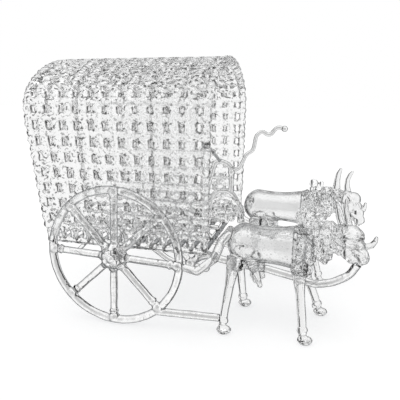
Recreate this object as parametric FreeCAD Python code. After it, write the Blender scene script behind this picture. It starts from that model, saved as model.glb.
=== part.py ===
import FreeCAD
import Part
import math
import os

# Lampworked clear-glass ornament of a covered bullock cart with its pair of bullocks.
# Millimetres. +X is the way the cart drives, +Y its left, +Z up.
# The origin is on the standing surface, under the middle of the axle.

# ---- wheels and axle
WHEEL_R = 40.0          # to the outside of the rim
RIM_ROD_R = 2.3
RIM_JOINT_R = 3.1       # bead where a spoke is fused to the rim
RIM_JOINT_INSET = 0.25  # its outermost point inside the tread
SPOKES = 8
SPOKE_TILT = -2.6       # degrees that the level spoke dips at the front
SPOKE_ROD_R = 2.1
HUB_R = 7.3
HUB_THICK = 10.0
WHEEL_GAP = 2.0         # clear space between a sill and a hub
AXLE_R = 2.25

# ---- cart floor
SILL_R = 2.0
SILL_OVERHANG = 2.0
FLOOR_ROD_R = 1.5
STRINGERS = 5
STRINGER_PITCH = 17.0

# ---- canopy of hoops and rails
HOOPS = 13              # the two end arches included
HOOP_ROD_R = 2.3
END_ARCH_R = 2.0
RAIL_ROD_R = 1.9
CANOPY_HALF_W = 53.0    # to the middle of the rods
CANOPY_REAR_X = -44.0   # at the sills
CANOPY_FRONT_X = 49.0
REAR_LEAN = 6.6         # degrees outward
FRONT_LEAN = 1.0
SPRING_Z = 115.0        # where the walls end and the arch starts
CROWN_Z = 146.5
SHOULDER_R = 20.0
WALL_BAYS = 8           # openings up one wall
ARCH_BAYS = 16          # openings over the arch
ROOF_STRIPS = 5

# ---- driver's seat and whip, all in the middle plane
SEAT_X = 51.0
SEAT_R = 9.0
SEAT_SINK = 4.0         # how far the ball reaches below the floor's top
SEAT_BITE = 0.5         # how far its foot grips the floor rod under it
LOOP_ROD_R = 1.6
WHIP_ROD_R = 1.2
WHIP_END_R = 1.9
STAY_R = 1.0
LOOP_BEND = 9.0
SEAT_ARCH_BEND = 8.0
WHIP_BEND = 4.0

# ---- rods from the cart to the bullocks
SHAFT_ROD_R = 2.2
TIE_ROD_R = 2.2
TIE_ANGLE = -52.0       # where the tie rod meets the rim, from the front
BRACKET_ROD_R = 1.7
BRACKET_BALL_R = 3.0
STRUT_R = 1.1
BRACE_ROD_R = 1.9
BRACE_END_R = 2.9
BRACE_Y = 26.0
BRACE_BEND = 25.0
PEG_R = 1.3
PEG_TOP_X = -21.0
PEG_REACH = 7.0
SHAFT_BEND = 12.0
TIE_INSET = 1.0         # its end inside the outer ankle's middle
BRACKET_X = 40.5        # its foot: ahead of the axle, inside the sill and below it
BRACKET_INSET = 2.5
BRACKET_DROP = 8.25
BRACKET_BACK = 4.0      # its arms' tops behind and ahead of the foot
BRACKET_AHEAD = 7.5

# ---- bullocks
BULL_INSET = 14.0       # from a sill to the body's middle plane
BODY_Z = 46.5           # right body; made by hand, the left one is longer and stands higher
LEFT_RISE = 2.5
BODY_REAR_X = 59.0
LEFT_LONGER = 3.5
RUMP_LENGTH = 10.0
BODY_CHEST_X = 94.0
BODY_FRONT_X = 104.0
BODY_R = 11.5
WAIST_R = 10.2
CHEST_END_R = 5.0
GLASS_WALL = 1.2
NECK_BEADS = 4
NECK_BEAD_R = 7.2
NECK_END_R = 5.2
NECK_SHORT = 4.0        # the last bead behind the poll and below it
NECK_LOW = 2.8
POLL_X = 120.5          # back of the head
POLL_Z = 57.0
HEAD_LENGTH = 21.0
HEAD_PITCH = 48.0       # degrees down
HEAD_YAW = 30.0         # degrees to the cart's right, both heads
HEAD_R = 5.6
MUZZLE_R = 3.1
HORN_BASE_R = 2.2
HORN_TIP_R = 1.1
HORN_BEND_R = 17.0
HORN_TURN = 62.0
HORN_SPREAD = 3.3
HORN_LEAN_OUT = 2.0     # degrees
EAR_LENGTH = 13.0
EAR_R = 2.2
GARLAND_R = 7.6
GARLAND_ROD_R = 3.0
NECK_ROOT_OUT = 0.5      # first bead's middle ahead of the chest, and above its middle
NECK_ROOT_RISE = 3.5
YOKE_X = 105.0
YOKE_R = 2.0
YOKE_KNOB_R = 3.2
HOOF_R = 3.6
HOOF_H = 4.4
HOOF_STEP = 1.0         # hoof middle ahead of the ankle
ANKLE_R = 2.1
ANKLE_RING_R = 0.9
ANKLE_RING_Z = 8.0
KNEE_R = 2.5
THIGH_R = 4.6
LEG_OUT = 18.0          # outer hooves from the body's middle plane
LEG_IN = 17.0
HIP_DROP = 6.5          # hips below the body's middle line, and out from its middle plane
HIP_SPREAD = 5.5
TAIL_R = 2.6
DROP_TOP_R = 3.2
DROP_TIP_R = 1.4
YOKE_REACH = 8.0        # its ends past the bodies' middle planes
YOKE_Z = 60.0
YOKE_RISE = 5.5
YOKE_BEND = 8.0

AXLE_Z = WHEEL_R
SILL_Z = AXLE_Z + AXLE_R + SILL_R
RIM_R = WHEEL_R - RIM_ROD_R
HALF_TRACK = CANOPY_HALF_W + SILL_R + WHEEL_GAP + HUB_THICK / 2
X_AXIS = FreeCAD.Vector(1, 0, 0)
Y_AXIS = FreeCAD.Vector(0, 1, 0)
Z_AXIS = FreeCAD.Vector(0, 0, 1)
CENTRE = FreeCAD.Vector(0, 0, 0)
SIDES = {-1: "right", 1: "left"}
BULL_Y = CANOPY_HALF_W - BULL_INSET


def body_z(side):
    return BODY_Z + (LEFT_RISE if side > 0 else 0)


def body_rear_x(side):
    return BODY_REAR_X - (LEFT_LONGER if side > 0 else 0)


def along_body(share):
    """x at a share of the right body's length, counted from its rump."""
    return BODY_REAR_X + share * (BODY_FRONT_X - BODY_REAR_X)


nodes = {}


def at(x, y, z):
    return FreeCAD.Vector(x, y, z)


def rod(start, end, radius, end_radius=None):
    """A straight round rod, tapered when it is given a second radius."""
    run = end - start
    if end_radius is None or abs(end_radius - radius) < 1e-6:
        return Part.makeCylinder(radius, run.Length, start, run)
    return Part.makeCone(radius, end_radius, run.Length, start, run)


def ball(centre, radius):
    return Part.makeSphere(radius, centre)


def fuse(shapes):
    whole = shapes[0].fuse(shapes[1:]) if len(shapes) > 1 else shapes[0]
    return whole.Solids[0] if len(whole.Solids) == 1 else whole


def group(shapes):
    """Separate solids of one node."""
    return Part.makeCompound([solid for shape in shapes for solid in shape.Solids])


def tapered(points, radii):
    """A rod through the points with a ball at every inner point."""
    pieces = []
    for start, end, r0, r1 in zip(points, points[1:], radii, radii[1:]):
        pieces.append(rod(start, end, r0, r1))
    for point, radius in zip(points[1:-1], radii[1:-1]):
        pieces.append(ball(point, radius))
    return fuse(pieces)


def bent_rod(points, radius, bend):
    """A round rod along straight runs joined by tangent arcs of up to the bend radius."""
    edges = []
    start = points[0]
    for before, corner, after in zip(points, points[1:], points[2:]):
        back = (before - corner).normalize()
        ahead = (after - corner).normalize()
        turn = math.pi - back.getAngle(ahead)
        room = 0.45 * min((before - corner).Length, (after - corner).Length)
        trim = min(room, bend * math.tan(turn / 2))
        arc_r = trim / math.tan(turn / 2)
        middle_way = (back + ahead).normalize()
        reach = arc_r / math.cos(turn / 2) - arc_r
        first = corner + back * trim
        last = corner + ahead * trim
        edges.append(Part.LineSegment(start, first).toShape())
        edges.append(Part.Arc(first, corner + middle_way * reach, last).toShape())
        start = last
    edges.append(Part.LineSegment(start, points[-1]).toShape())
    path = Part.Wire(edges)
    section = Part.Wire([Part.makeCircle(radius, points[0], points[1] - points[0])])
    return path.makePipeShell([section], True, False).Solids[0]


def main_solid(shape):
    return max(shape.Solids, key=lambda solid: solid.Volume)


def both_sides(name, build):
    """The same piece built on the cart's right, side -1, and on its left, side 1."""
    for side, hand in SIDES.items():
        nodes["%s_%s" % (name, hand)] = build(side)


# ---- wheels -------------------------------------------------------------------------

def rim_point(side, angle, radius=RIM_R):
    """A point in a wheel's plane, its angle counted from the front upwards."""
    a = math.radians(angle)
    return at(radius * math.cos(a), side * HALF_TRACK, AXLE_Z + radius * math.sin(a))


def spoke_angles():
    return [SPOKE_TILT + 360.0 * i / SPOKES for i in range(SPOKES)]


def wheel_rim(side):
    """The beads stay just inside the tread, so that the rim itself meets the floor."""
    hoop = Part.makeTorus(RIM_R, RIM_ROD_R, rim_point(side, 0, 0), Y_AXIS)
    bead_at = WHEEL_R - RIM_JOINT_R - RIM_JOINT_INSET
    beads = [ball(rim_point(side, angle, bead_at), RIM_JOINT_R) for angle in spoke_angles()]
    return fuse([hoop] + beads)


def wheel_hub(side):
    """A lens of glass, turned about the axle."""
    half = HUB_THICK / 2
    waist = HUB_R * 0.72
    edge = [
        Part.LineSegment(at(0, -half, 0), at(waist, -half, 0)).toShape(),
        Part.Arc(at(waist, -half, 0), at(HUB_R, 0, 0), at(waist, half, 0)).toShape(),
        Part.LineSegment(at(waist, half, 0), at(0, half, 0)).toShape(),
        Part.LineSegment(at(0, half, 0), at(0, -half, 0)).toShape(),
    ]
    solid = Part.Face(Part.Wire(edge)).revolve(CENTRE, Y_AXIS, 360)
    solid.translate(rim_point(side, 0, 0))
    return solid.Solids[0]


def wheel_spokes(side):
    ends = [rim_point(side, 0, 0), nodes["wheel_hub_" + SIDES[side]], nodes["wheel_rim_" + SIDES[side]]]
    spokes = []
    for angle in spoke_angles():
        spoke = rod(ends[0], rim_point(side, angle), SPOKE_ROD_R)
        spokes.append(main_solid(spoke.cut(ends[1]).cut(ends[2])))
    return group(spokes)


both_sides("wheel_rim", wheel_rim)
both_sides("wheel_hub", wheel_hub)
both_sides("wheel_spokes", wheel_spokes)

axle_half = HALF_TRACK - HUB_THICK / 2
nodes["axle"] = rod(at(0, -axle_half, AXLE_Z), at(0, axle_half, AXLE_Z), AXLE_R)


# ---- canopy -------------------------------------------------------------------------



class Hoop:
    """One hoop, in a plane that leans about its foot line."""

    def __init__(self, share, radius):
        self.radius = radius
        self.foot_x = CANOPY_REAR_X + share * (CANOPY_FRONT_X - CANOPY_REAR_X)
        slope_rear = -math.tan(math.radians(REAR_LEAN))
        slope_front = math.tan(math.radians(FRONT_LEAN))
        self.slope = slope_rear + share * (slope_front - slope_rear)
        self.lean = math.atan(self.slope)
        stretch = 1 / math.cos(self.lean)
        self.wall = (SPRING_Z - SILL_Z) * stretch
        rise = (CROWN_Z - SPRING_Z) * stretch
        inner = CANOPY_HALF_W - SHOULDER_R
        self.shoulder = math.pi / 2 - 2 * math.atan((rise - SHOULDER_R) / inner)
        self.crown_r = inner / math.cos(self.shoulder) + SHOULDER_R
        self.crown_up = self.wall - inner * math.tan(self.shoulder)
        self.shoulder_run = SHOULDER_R * self.shoulder
        self.half_run = self.shoulder_run + self.crown_r * (math.pi / 2 - self.shoulder)

    def place(self, across, up):
        """From the hoop's own plane to the cart."""
        x = self.foot_x + up * math.sin(self.lean)
        return at(x, across, SILL_Z + up * math.cos(self.lean))

    def flat(self, row):
        """Across and up, and the way along the hoop, at a row counted from the right sill."""
        rows = 2 * WALL_BAYS + ARCH_BAYS
        side = -1
        if row > rows / 2:
            row = rows - row
            side = 1
        if row <= WALL_BAYS:
            return side * CANOPY_HALF_W, self.wall * row / WALL_BAYS, 0.0, 1.0
        run = self.half_run * (row - WALL_BAYS) / (ARCH_BAYS / 2)
        if run <= self.shoulder_run:
            angle = run / SHOULDER_R
            across = CANOPY_HALF_W - SHOULDER_R + SHOULDER_R * math.cos(angle)
            up = self.wall + SHOULDER_R * math.sin(angle)
        else:
            angle = self.shoulder + (run - self.shoulder_run) / self.crown_r
            across = self.crown_r * math.cos(angle)
            up = self.crown_up + self.crown_r * math.sin(angle)
        return side * across, up, -side * math.sin(angle), math.cos(angle)

    def point(self, row):
        across, up, _, _ = self.flat(row)
        return self.place(across, up)

    def along(self, row):
        _, _, across, up = self.flat(row)
        return at(up * math.sin(self.lean), across, up * math.cos(self.lean))

    def solid(self):
        foot = SILL_R + self.radius * abs(math.tan(self.lean))
        shoulder_across = CANOPY_HALF_W - SHOULDER_R

        def on_shoulder(side, angle):
            return self.place(side * (shoulder_across + SHOULDER_R * math.cos(angle)),
                              self.wall + SHOULDER_R * math.sin(angle))

        crown = self.place(0, self.crown_up + self.crown_r)
        ends = {side: on_shoulder(side, self.shoulder) for side in (-1, 1)}
        springs = {side: on_shoulder(side, 0) for side in (-1, 1)}
        feet = {side: self.place(side * CANOPY_HALF_W, foot) for side in (-1, 1)}
        half = self.shoulder / 2
        path = Part.Wire([
            Part.LineSegment(feet[-1], springs[-1]).toShape(),
            Part.Arc(springs[-1], on_shoulder(-1, half), ends[-1]).toShape(),
            Part.Arc(ends[-1], crown, ends[1]).toShape(),
            Part.Arc(ends[1], on_shoulder(1, half), springs[1]).toShape(),
            Part.LineSegment(springs[1], feet[1]).toShape(),
        ])
        section = Part.Wire([Part.makeCircle(self.radius, feet[-1], springs[-1] - feet[-1])])
        return path.makePipeShell([section], True, False).Solids[0]


def make_hoops():
    made = []
    for i in range(HOOPS):
        radius = END_ARCH_R if i in (0, HOOPS - 1) else HOOP_ROD_R
        made.append(Hoop(i / (HOOPS - 1), radius))
    return made


hoops = make_hoops()
nodes["rear_arch"] = hoops[0].solid()
nodes["front_arch"] = hoops[-1].solid()
nodes["canopy_hoops"] = group([hoop.solid() for hoop in hoops[1:-1]])


def seat_back(hoop, row, run):
    """How far a flat-ended rail stays from a hoop's middle so that it just meets it."""
    turn = run.getAngle(hoop.along(row))
    return hoop.radius / math.sin(turn) + RAIL_ROD_R * abs(math.cos(turn) / math.sin(turn))


def rail(row):
    """The short rods of one row, each between two hoops."""
    pieces = []
    for near, far in zip(hoops, hoops[1:]):
        start = near.point(row)
        end = far.point(row)
        run = (end - start).normalize()
        start = start + run * seat_back(near, row, run)
        end = end - run * seat_back(far, row, run)
        pieces.append(rod(start, end, RAIL_ROD_R))
    return pieces


def rails(first, last):
    return group([piece for row in range(first, last + 1) for piece in rail(row)])


LAST_ROW = 2 * WALL_BAYS + ARCH_BAYS
nodes["wall_rails_right"] = rails(1, WALL_BAYS)
nodes["wall_rails_left"] = rails(LAST_ROW - WALL_BAYS, LAST_ROW - 1)
roof_rows = list(range(WALL_BAYS + 1, LAST_ROW - WALL_BAYS))
for strip in range(ROOF_STRIPS):
    first = round(strip * len(roof_rows) / ROOF_STRIPS)
    last = round((strip + 1) * len(roof_rows) / ROOF_STRIPS) - 1
    nodes["roof_rails_%d" % (strip + 1)] = rails(roof_rows[first], roof_rows[last])


# ---- floor --------------------------------------------------------------------------

def sill(side):
    rear = at(CANOPY_REAR_X - SILL_OVERHANG, side * CANOPY_HALF_W, SILL_Z)
    front = at(CANOPY_FRONT_X + SILL_OVERHANG, side * CANOPY_HALF_W, SILL_Z)
    return rod(rear, front, SILL_R)


both_sides("sill", sill)

floor_half = CANOPY_HALF_W - SILL_R
nodes["floor_cross_rods"] = group([
    rod(at(h.foot_x, -floor_half, SILL_Z), at(h.foot_x, floor_half, SILL_Z), FLOOR_ROD_R)
    for h in hoops])
STRINGER_Z = SILL_Z + 2 * FLOOR_ROD_R
FLOOR_TOP = STRINGER_Z + FLOOR_ROD_R
stringer_ys = [STRINGER_PITCH * (i - (STRINGERS - 1) / 2) for i in range(STRINGERS)]
STRINGER_SET = group([
    rod(at(CANOPY_REAR_X, y, STRINGER_Z), at(CANOPY_FRONT_X, y, STRINGER_Z), FLOOR_ROD_R)
    for y in stringer_ys])


# ---- driver's seat ------------------------------------------------------------------

seat_centre = at(SEAT_X, 0, FLOOR_TOP - SEAT_SINK + SEAT_R)
seat_foot_z = FLOOR_TOP - 2 * FLOOR_ROD_R - SEAT_BITE
SEAT = ball(seat_centre, SEAT_R).cut(Part.makeBox(
    2 * SEAT_R, 2 * SEAT_R, SEAT_R, at(SEAT_X - SEAT_R, -SEAT_R, seat_foot_z - SEAT_R)))
SEAT = SEAT.cut(nodes["floor_cross_rods"]).cut(STRINGER_SET).Solids[0]
nodes["seat"] = SEAT
nodes["floor_stringers"] = STRINGER_SET


def seat_place(ahead, up):
    """A place in the middle plane, in seat radii from the floor's top under the seat."""
    return at(SEAT_X + ahead * SEAT_R, 0, FLOOR_TOP + up * SEAT_R)


def seat_line(rows):
    return [seat_place(ahead, up) for ahead, up in rows]


# corners of each rod, ahead and up
GRIP = seat_place(0.22, 3.36)
BACK_LOOP = seat_line([(-1.5, 0.0), (-1.5, 2.14), (-0.89, 4.25), (0.11, 3.86)]) + [GRIP]
SEAT_ARCH = seat_line([(-1.44, 1.03), (-0.83, 2.03), (0.22, 2.03), (0.95, 0.81), (1.0, -0.08)])
WHIP = [GRIP] + seat_line([(0.83, 3.75), (1.28, 4.69), (1.72, 4.92), (1.89, 5.92),
                           (2.28, 6.31), (2.78, 5.92), (3.28, 6.58), (3.78, 6.45)])
CROSSBAR_UP = 2.97
STAY_END = seat_place(-0.61, 4.14)
STAY_SHARE = 0.83       # of the front arch's upright

arch_top_z = max(point.z for point in SEAT_ARCH)
post = fuse([rod(at(GRIP.x, 0, arch_top_z), GRIP, LOOP_ROD_R), ball(GRIP, 1.4 * LOOP_ROD_R)])
back_loop = bent_rod(BACK_LOOP, LOOP_ROD_R, LOOP_BEND).cut(post)
nodes["seat_back_loop"] = back_loop.Solids[0]
seat_arch = bent_rod(SEAT_ARCH, LOOP_ROD_R, SEAT_ARCH_BEND)
seat_arch = fuse([seat_arch, ball(SEAT_ARCH[-1], 1.3 * LOOP_ROD_R)]).cut([back_loop, SEAT])
nodes["seat_arch"] = main_solid(seat_arch)
nodes["seat_post"] = post.cut(seat_arch)
crossbar = rod(seat_place(-1.5, CROSSBAR_UP), seat_place(0.22, CROSSBAR_UP), STAY_R)
nodes["seat_crossbar"] = main_solid(crossbar.cut([back_loop, post]))
whip = fuse([bent_rod(WHIP, WHIP_ROD_R, WHIP_BEND), ball(WHIP[-1], WHIP_END_R)])
nodes["whip"] = main_solid(whip.cut([post, back_loop]))
stay_foot = hoops[-1].place(-CANOPY_HALF_W, STAY_SHARE * hoops[-1].wall)
stay = rod(stay_foot, STAY_END, STAY_R).cut([nodes["front_arch"], back_loop])
nodes["seat_stay"] = main_solid(stay)


# ---- bullocks -----------------------------------------------------------------------

def cap_middle(tip_x, shoulder_x, shoulder_r):
    """Middle of the arc, centred on the axis, that rounds a turned end off."""
    reach = shoulder_x - tip_x
    centre_x = tip_x + (reach * reach + shoulder_r * shoulder_r) / (2 * reach)
    radius = abs(centre_x - tip_x)
    tip_angle = math.atan2(0, tip_x - centre_x)
    shoulder_angle = math.atan2(shoulder_r, shoulder_x - centre_x)
    angle = (tip_angle + shoulder_angle) / 2
    return at(centre_x + radius * math.cos(angle), 0, radius * math.sin(angle))


def body_profile(side, wall):
    """Half the body's outline, on its own axis, the given wall inside the outer skin."""
    radius = BODY_R - wall
    rump_x = body_rear_x(side) + RUMP_LENGTH
    rear = at(body_rear_x(side) + wall, 0, 0)
    rump = at(rump_x, 0, radius)
    chest = at(BODY_CHEST_X, 0, radius)
    front = at(BODY_FRONT_X - wall, 0, CHEST_END_R - wall)
    waist = at((rump_x + BODY_CHEST_X) / 2, 0, WAIST_R - wall)
    breast = at(front.x - 0.29 * (front.x - chest.x), 0, front.z + 0.71 * (radius - front.z))
    return Part.Wire([
        Part.Arc(rear, cap_middle(rear.x, rump.x, rump.z), rump).toShape(),
        Part.Arc(rump, waist, chest).toShape(),
        Part.Arc(chest, breast, front).toShape(),
        Part.LineSegment(front, at(front.x, 0, 0)).toShape(),
        Part.LineSegment(at(front.x, 0, 0), rear).toShape(),
    ])


def turned_body(side, wall):
    solid = Part.Face(body_profile(side, wall)).revolve(CENTRE, X_AXIS, 360).Solids[0]
    solid.translate(at(0, side * BULL_Y, body_z(side)))
    return solid


def body_envelope(side):
    return turned_body(side, 0)


def blown_body(side):
    return main_solid(body_envelope(side).cut(turned_body(side, GLASS_WALL)))


def hoof(x, y):
    waist = 0.65 * HOOF_R
    outline = Part.Wire([
        Part.LineSegment(at(0, 0, 0), at(waist, 0, 0)).toShape(),
        Part.Arc(at(waist, 0, 0), at(HOOF_R, 0, 0.45 * HOOF_H), at(waist, 0, HOOF_H)).toShape(),
        Part.LineSegment(at(waist, 0, HOOF_H), at(0, 0, HOOF_H)).toShape(),
        Part.LineSegment(at(0, 0, HOOF_H), at(0, 0, 0)).toShape(),
    ])
    solid = Part.Face(outline).revolve(CENTRE, Z_AXIS, 360)
    solid.translate(at(x, y, 0))
    return solid


def leg(hip, foot_x, foot_y, envelope):
    """Thigh, shank, ankle ring and hoof, fused in one flame."""
    ankle = at(foot_x, foot_y, HOOF_H)
    knee = hip + (ankle - hip) * 0.42
    ring_at = hip + (ankle - hip) * (hip.z - ANKLE_RING_Z) / (hip.z - HOOF_H)
    ring = Part.makeTorus(ANKLE_R, ANKLE_RING_R, ring_at, ankle - hip)
    shank = tapered([hip, knee, ankle], [THIGH_R, KNEE_R, ANKLE_R])
    return fuse([shank, ring, hoof(foot_x + HOOF_STEP, foot_y)]).cut(envelope)


# shares along the body of the hip, the outer ankle and the inner ankle
HIP_ROWS = {"rear_legs": (0.12, 0.03, 0.16), "front_legs": (0.88, 0.99, 1.16)}


def leg_pair(name, side, envelope):
    hip_x, outer_x, inner_x = [along_body(share) for share in HIP_ROWS[name]]
    hip_z = BODY_Z - HIP_DROP
    middle_y = side * BULL_Y
    outer = leg(at(hip_x, middle_y + side * HIP_SPREAD, hip_z), outer_x,
                middle_y + side * LEG_OUT, envelope)
    inner = leg(at(hip_x, middle_y - side * HIP_SPREAD, hip_z), inner_x,
                middle_y - side * LEG_IN, envelope)
    return group([outer, inner])


class HeadFrame:
    """Directions of a head that hangs forward and looks to the cart's right."""

    def __init__(self, side):
        pitch = math.radians(HEAD_PITCH)
        yaw = math.radians(HEAD_YAW)
        self.poll = at(POLL_X, side * BULL_Y, POLL_Z)
        self.facing = at(math.cos(yaw), -math.sin(yaw), 0)
        self.left = at(math.sin(yaw), math.cos(yaw), 0)
        self.down_nose = self.facing * math.cos(pitch) - Z_AXIS * math.sin(pitch)
        self.brow = self.facing * math.sin(pitch) + Z_AXIS * math.cos(pitch)

    def place(self, nose, left, brow):
        return self.poll + self.down_nose * nose + self.left * left + self.brow * brow


def head(frame):
    """A drop of glass turned about the line from the poll to the muzzle."""
    long = HEAD_LENGTH
    back = at(-0.2 * long, 0, 0)
    cheek = at(0.14 * long, 0, HEAD_R)
    nose_mid = at(0.45 * long, 0, 0.85 * HEAD_R)
    snout = at(0.8 * long, 0, MUZZLE_R)
    tip = at(long, 0, 0)
    wire = Part.Wire([
        Part.Arc(back, cap_middle(back.x, cheek.x, cheek.z), cheek).toShape(),
        Part.Arc(cheek, nose_mid, snout).toShape(),
        Part.Arc(snout, cap_middle(tip.x, snout.x, snout.z), tip).toShape(),
        Part.LineSegment(tip, back).toShape(),
    ])
    solid = Part.Face(wire).revolve(CENTRE, X_AXIS, 360).Solids[0]
    solid.rotate(CENTRE, Y_AXIS, HEAD_PITCH)
    solid.rotate(CENTRE, Z_AXIS, -HEAD_YAW)
    solid.translate(frame.poll)
    return solid


def horn(frame, hand):
    """A crescent that bends from backward to forward as it rises."""
    steps = 5
    lean_back = math.radians(HORN_TURN * 0.42)
    turn = math.radians(HORN_TURN) / steps
    outward = math.radians(HORN_LEAN_OUT)
    point = frame.place(0.5, hand * HORN_SPREAD, 0.6 * HEAD_R)
    points = [point]
    radii = [HORN_BASE_R]
    for i in range(steps):
        angle = (i + 0.5) * turn - lean_back
        way = (frame.facing * math.sin(angle) + Z_AXIS * math.cos(angle)) * math.cos(outward)
        way = way + frame.left * hand * math.sin(outward)
        point = point + way * (HORN_BEND_R * turn)
        points.append(point)
        radii.append(HORN_BASE_R + (HORN_TIP_R - HORN_BASE_R) * (i + 1) / steps)
    return fuse([tapered(points, radii), ball(points[-1], HORN_TIP_R)])


def ear(frame, hand):
    """A thick leaf that stands out sideways and curls up at its tip."""
    root = frame.place(0.3 * HEAD_LENGTH, hand * 0.6 * HEAD_R, 0)
    outward = frame.left * hand * EAR_LENGTH
    bend = root + outward * 0.6 - Z_AXIS * 0.04 * EAR_LENGTH
    tip = bend + outward * 0.35 + Z_AXIS * 0.3 * EAR_LENGTH
    return fuse([tapered([root, bend, tip], [0.7 * EAR_R, EAR_R, 0.6 * EAR_R]),
                 ball(tip, 0.6 * EAR_R)])


def neck_line(side):
    start = at(BODY_FRONT_X + NECK_ROOT_OUT, side * BULL_Y, body_z(side) + NECK_ROOT_RISE)
    end = at(POLL_X - NECK_SHORT, side * BULL_Y, POLL_Z - NECK_LOW)
    return start, end


def neck(side):
    """A string of beads, turned about the line from the chest to the poll."""
    start, end = neck_line(side)
    run = end - start
    step = run.Length / (NECK_BEADS - 1)
    radii = [NECK_BEAD_R + (NECK_END_R - NECK_BEAD_R) * i / (NECK_BEADS - 1)
             for i in range(NECK_BEADS)]
    waists = [at(-radii[0], 0, 0)]
    for i, (near_r, far_r) in enumerate(zip(radii, radii[1:])):
        past = step / 2 + (near_r ** 2 - far_r ** 2) / (2 * step)
        waists.append(at(i * step + past, 0, math.sqrt(near_r ** 2 - past ** 2)))
    waists.append(at(run.Length + radii[-1], 0, 0))
    edges = [Part.Arc(waists[i], at(i * step, 0, radii[i]), waists[i + 1]).toShape()
             for i in range(NECK_BEADS)]
    edges.append(Part.LineSegment(waists[-1], waists[0]).toShape())
    solid = Part.Face(Part.Wire(edges)).revolve(CENTRE, X_AXIS, 360).Solids[0]
    solid.Placement = FreeCAD.Placement(start, FreeCAD.Rotation(X_AXIS, run))
    return solid


def garland(side):
    start, end = neck_line(side)
    return Part.makeTorus(GARLAND_R, GARLAND_ROD_R, start + (end - start) * 0.42, end - start)


# the tail, from the rump to the front of the wheel: shares from the rim to the body's rear,
# and from the body's middle plane to the wheel's, and body radii above the line between them
TAIL = [(1.14, 0.07, 0.62), (0.95, 0.43, 0.33), (0.84, 0.80, -0.26), (0.44, 0.91, -0.64)]
TAIL_TAPER = (1.0, 0.96, 0.92, 0.85, 0.77)


def tail(side):
    points = [at(RIM_R + along * (BODY_REAR_X - RIM_R),
                 side * (BULL_Y + out * (HALF_TRACK - BULL_Y)),
                 AXLE_Z + along * (BODY_Z - AXLE_Z) + up * BODY_R)
              for along, out, up in TAIL]
    points.append(rim_point(side, SPOKE_TILT))
    shape = tapered(points, [TAIL_R * share for share in TAIL_TAPER])
    return main_solid(shape.cut([body_envelope(side), nodes["wheel_rim_" + SIDES[side]]]))


# each belly drop's top and tip: share along the body, then body radii out and down
DROP_TOP = (0.32, 0.48, 0.65)
DROP_TIP = (0.44, 0.57, 1.87)


def belly_drops(side, envelope):
    drops = []
    for hand in (-1, 1):
        top, tip = [at(along_body(along), side * BULL_Y + hand * out * BODY_R,
                       body_z(side) - down * BODY_R)
                    for along, out, down in (DROP_TOP, DROP_TIP)]
        drop = fuse([rod(top, tip, DROP_TOP_R, DROP_TIP_R), ball(tip, 1.1 * DROP_TIP_R)])
        drops.append(drop.cut(envelope))
    return group(drops)


def bullock(side):
    envelope = body_envelope(side)
    frame = HeadFrame(side)
    face = head(frame)
    throat = main_solid(neck(side).cut(envelope).cut(face))
    made = {
        "body": blown_body(side),
        "neck": throat,
        "head": face,
        "horns": group([horn(frame, hand).cut(face) for hand in (-1, 1)]),
        "ears": group([ear(frame, hand).cut(face) for hand in (-1, 1)]),
        "garland": garland(side).cut([throat, envelope]),
        "front_legs": leg_pair("front_legs", side, envelope),
        "rear_legs": leg_pair("rear_legs", side, envelope),
        "belly_drops": belly_drops(side, envelope),
        "tail": tail(side),
    }
    for piece, shape in made.items():
        nodes["bullock_%s_%s" % (piece, SIDES[side])] = shape


bullock(-1)
bullock(1)

yoke_end_y = BULL_Y + YOKE_REACH
yoke_bend_y = BULL_Y + 0.2 * YOKE_REACH
YOKE_POINTS = [at(YOKE_X, -yoke_end_y, YOKE_Z + YOKE_RISE), at(YOKE_X, -yoke_bend_y, YOKE_Z),
               at(YOKE_X, yoke_bend_y, YOKE_Z), at(YOKE_X, yoke_end_y, YOKE_Z + YOKE_RISE)]
yoke = fuse([bent_rod(YOKE_POINTS, YOKE_R, YOKE_BEND), ball(YOKE_POINTS[0], YOKE_KNOB_R),
             ball(YOKE_POINTS[-1], YOKE_KNOB_R)])
yoke = yoke.cut([nodes["bullock_neck_right"], nodes["bullock_neck_left"],
                 nodes["bullock_garland_right"], nodes["bullock_garland_left"]])
nodes["yoke"] = yoke


# ---- rods between the cart and the bullocks -----------------------------------------

BRACKET_Y = CANOPY_HALF_W - BRACKET_INSET
BRACKET_Z = SILL_Z - BRACKET_DROP
# the shaft's corners: shares from the bracket to the chest and from the body's middle plane
# to the bracket, and body radii below the right body's middle line
SHAFT = [(0.11, 0.65, 0.52), (0.23, 0.22, 0.84), (0.37, 0.0, 1.10), (0.65, 0.0, 1.23),
         (0.92, 0.0, 1.54), (1.05, 0.0, 1.78), (1.20, 0.04, 1.58), (1.33, 0.13, 1.13)]


def shaft_corner(side, row):
    along, out, down = SHAFT[row]
    return at(BRACKET_X + along * (BODY_FRONT_X - BRACKET_X),
              side * (BULL_Y + out * (BRACKET_Y - BULL_Y)), BODY_Z - down * BODY_R)


def bracket_foot(side):
    return at(BRACKET_X, side * BRACKET_Y, BRACKET_Z)


def bracket(side):
    """A V of two arms under the sill with the shaft's root bead at its foot."""
    apex = bracket_foot(side)
    tops = [at(x, side * CANOPY_HALF_W, SILL_Z)
            for x in (BRACKET_X - BRACKET_BACK, BRACKET_X + BRACKET_AHEAD)]
    arms = [rod(apex, top, BRACKET_ROD_R) for top in tops]
    return main_solid(fuse([ball(apex, BRACKET_BALL_R)] + arms).cut(sill(side)))


def shaft(side):
    frame = HeadFrame(side)
    chin = frame.place(0.82 * HEAD_LENGTH, 0, -0.6 * MUZZLE_R)
    corners = [shaft_corner(side, row) for row in range(len(SHAFT))]
    shape = bent_rod([bracket_foot(side)] + corners + [chin], SHAFT_ROD_R, SHAFT_BEND)
    return main_solid(shape.cut([bracket(side), body_envelope(side), head(frame)]))


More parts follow.
